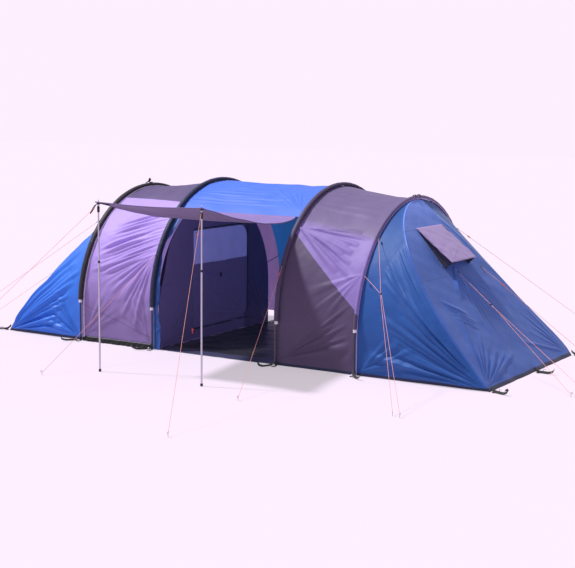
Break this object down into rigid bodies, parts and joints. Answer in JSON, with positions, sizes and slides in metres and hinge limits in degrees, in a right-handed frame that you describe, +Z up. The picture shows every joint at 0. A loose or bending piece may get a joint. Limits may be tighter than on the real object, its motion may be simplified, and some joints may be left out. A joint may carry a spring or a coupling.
{
  "type": "tunnel tent",
  "caption": "Tunnel tent on hoop poles with a bedroom at each end, a living room between, and a door canopy propped on steel poles.",
  "frame": {"origin": "on the ground, on the centre line of the hoops, between the two middle hoops' bays", "axes": "+X along the tent, -Y is the door side, +Z up"},
  "size_m": [8.4875, 7.9672, 1.9569],
  "materials": {
    "black_plastic": "matte",
    "canopy_cloth": "satin",
    "cord": "matte",
    "fly_blue": "satin",
    "fly_lilac": "satin",
    "fly_mauve": "satin",
    "groundsheet": "matte",
    "inner_cloth": "matte",
    "mesh": "matte",
    "peg": "satin",
    "pole_fibreglass": "satin",
    "runner": "gloss",
    "skirt": "matte",
    "sleeve": "matte",
    "steel": "satin",
    "webbing": "matte",
    "white_plastic": "satin",
    "zip": "satin",
    "zip_pull": "matte"
  },
  "bodies": {
    "tent": {"base_buckles": "black_plastic", "base_straps": "webbing", "door_zips": "zip", "fly_centre": "fly_blue", "fly_left_bay": "fly_lilac", "fly_left_end": "fly_blue", "fly_right_bay": "fly_mauve", "fly_right_end": "fly_blue", "ground_pegs": "peg", "groundsheet": "groundsheet", "guy_hoop1_front": "cord", "guy_hoop1_rear": "cord", "guy_hoop2_front": "cord", "guy_hoop2_rear": "cord", "guy_hoop3_front": "cord", "guy_hoop3_rear": "cord", "guy_hoop4_front_high": "cord", "guy_hoop4_front_leg_a": "cord", "guy_hoop4_front_leg_b": "cord", "guy_hoop4_front_low": "cord", "guy_hoop4_rear": "cord", "guy_junctions": "runner", "guy_left_end_front": "cord", "guy_left_end_rear": "cord", "guy_right_end_front": "cord", "guy_right_end_leg_a": "cord", "guy_right_end_leg_b": "cord", "guy_right_end_rear": "cord", "guy_tabs": "webbing", "hoop_feet": "black_plastic", "hoop_pole_1": "pole_fibreglass", "hoop_pole_2": "pole_fibreglass", "hoop_pole_3": "pole_fibreglass", "hoop_pole_4": "pole_fibreglass", "inner_tent_left": "inner_cloth", "inner_tent_right": "inner_cloth", "inner_ties": "webbing", "mud_skirt": "skirt", "pole_ferrules": "steel", "pole_sleeves": "sleeve", "sleeve_end_caps": "white_plastic", "vent_mesh_left": "mesh", "vent_mesh_right": "mesh"},
    "canopy": {"canopy": "canopy_cloth", "canopy_corner_caps": "black_plastic", "guy_awning_left": "cord", "guy_awning_right": "cord"},
    "awning_left_upper": {"awning_pole_left_upper": "steel"},
    "awning_left_lower": {"awning_pole_left_lower": "steel"},
    "awning_right_upper": {"awning_pole_right_upper": "steel"},
    "awning_right_lower": {"awning_pole_right_lower": "steel"},
    "inner_door_left": {"inner_door_left": "inner_cloth"},
    "inner_door_right": {"inner_door_right": "inner_cloth"},
    "zip_slider_left": {"zip_slider_left": "zip_pull"},
    "zip_slider_right": {"zip_slider_right": "zip_pull"},
    "vent_flap_left": {"vent_flap_left": "fly_mauve"},
    "vent_flap_right": {"vent_flap_right": "fly_mauve"},
    "runner_hoop3_front": {"runner_hoop3_front": "runner"},
    "runner_hoop4_rear": {"runner_hoop4_rear": "runner"},
    "runner_right_end_rear": {"runner_right_end_rear": "runner"}
  },
  "joints": [
    {"name": "canopy_hinge", "type": "hinge", "parent": "tent", "child": "canopy", "pos_m": [0.075, -0.884, 1.606], "axis": [1, 0, 0], "range_deg": [0, 55], "deforming": ["guy_awning_left", "guy_awning_right"]},
    {"name": "awning_left_fold", "type": "hinge", "parent": "canopy", "child": "awning_left_upper", "pos_m": [-0.51, -2.735, 1.786], "axis": [1, 0, 0], "range_deg": [0, 80]},
    {"name": "awning_left_telescope", "type": "slide", "parent": "awning_left_upper", "child": "awning_left_lower", "axis": [0, 0, 1], "range_m": [0, 0.5]},
    {"name": "awning_right_fold", "type": "hinge", "parent": "canopy", "child": "awning_right_upper", "pos_m": [0.82, -2.735, 1.786], "axis": [1, 0, 0], "range_deg": [0, 80]},
    {"name": "awning_right_telescope", "type": "slide", "parent": "awning_right_upper", "child": "awning_right_lower", "axis": [0, 0, 1], "range_m": [0, 0.5]},
    {"name": "inner_door_left_swing", "type": "hinge", "parent": "tent", "child": "inner_door_left", "pos_m": [-0.799, -0.616, 0.745], "axis": [0, 0, -1], "range_deg": [0, 95]},
    {"name": "inner_door_right_swing", "type": "hinge", "parent": "tent", "child": "inner_door_right", "pos_m": [0.849, 0.616, 0.745], "axis": [0, 0, -1], "range_deg": [0, 95]},
    {"name": "zip_left_slide", "type": "slide", "parent": "tent", "child": "zip_slider_left", "axis": [0, 1, 0], "range_m": [0, 1.12]},
    {"name": "zip_right_slide", "type": "slide", "parent": "tent", "child": "zip_slider_right", "axis": [0, -1, 0], "range_m": [0, 0.86]},
    {"name": "vent_left_hinge", "type": "hinge", "parent": "tent", "child": "vent_flap_left", "pos_m": [-2.1422, -0.22, 1.50459], "axis": [0, 1, 0], "range_deg": [-9, 25]},
    {"name": "vent_right_hinge", "type": "hinge", "parent": "tent", "child": "vent_flap_right", "pos_m": [2.12399, -0.22, 1.52885], "axis": [0, -1, 0], "range_deg": [-9, 25]},
    {"name": "runner_hoop3_front_slide", "type": "slide", "parent": "tent", "child": "runner_hoop3_front", "axis": [0.2778, -0.8172, -0.5049], "range_m": [-0.1, 0.9]},
    {"name": "runner_hoop4_rear_slide", "type": "slide", "parent": "tent", "child": "runner_hoop4_rear", "axis": [0.4705, 0.6979, -0.54], "range_m": [-0.12, 0.9]},
    {"name": "runner_right_end_rear_slide", "type": "slide", "parent": "tent", "child": "runner_right_end_rear", "axis": [0.8304, -0.0639, -0.5534], "range_m": [-0.26, 0.9]}
  ],
  "couplings": [
    {"joint": "awning_left_fold", "follows": "canopy_hinge", "ratio": 1.4545},
    {"joint": "awning_right_fold", "follows": "canopy_hinge", "ratio": 1.4545}
  ]
}
